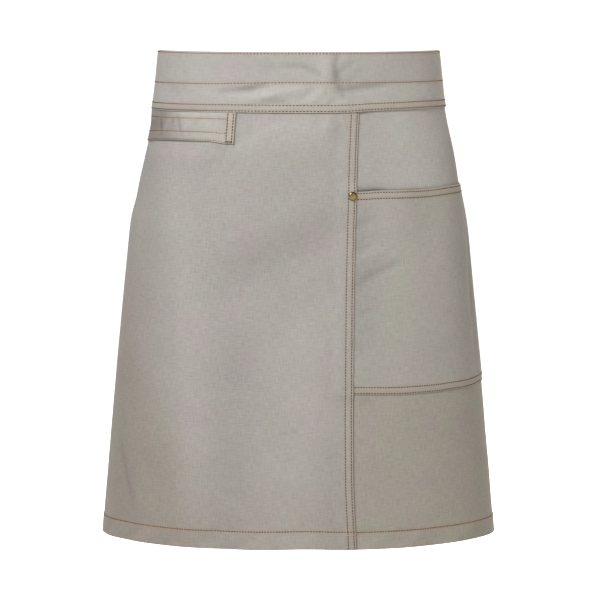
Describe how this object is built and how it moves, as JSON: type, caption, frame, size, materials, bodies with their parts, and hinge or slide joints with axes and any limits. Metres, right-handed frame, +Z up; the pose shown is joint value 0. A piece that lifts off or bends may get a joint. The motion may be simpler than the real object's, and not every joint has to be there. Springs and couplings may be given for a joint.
{
  "type": "waist apron",
  "caption": "Waist apron of fine twill in its worn form: folded waistband, lapped seam, riveted patch pocket on one side, towel strap on the other, plain tape closing the back.",
  "frame": {"origin": "middle of the wearer's waist, halfway up the waistband", "axes": "+Z up, -Y towards the wearer's front, +X towards the wearer's left"},
  "size_m": [0.409, 0.2286, 0.5022],
  "materials": {
    "front_twill": "matte",
    "side_twill": "matte",
    "pocket_twill": "matte",
    "band_twill": "matte",
    "strap_twill": "matte",
    "tie_tape": "matte",
    "rivet_brass": "antique",
    "sewing_thread": "satin"
  },
  "bodies": {
    "root": {"front_panel": "front_twill", "side_panel": "side_twill", "pocket": "pocket_twill", "waistband": "band_twill", "towel_loop": "strap_twill", "back_tie": "tie_tape", "rivet": "rivet_brass"}
  },
  "joints": []
}
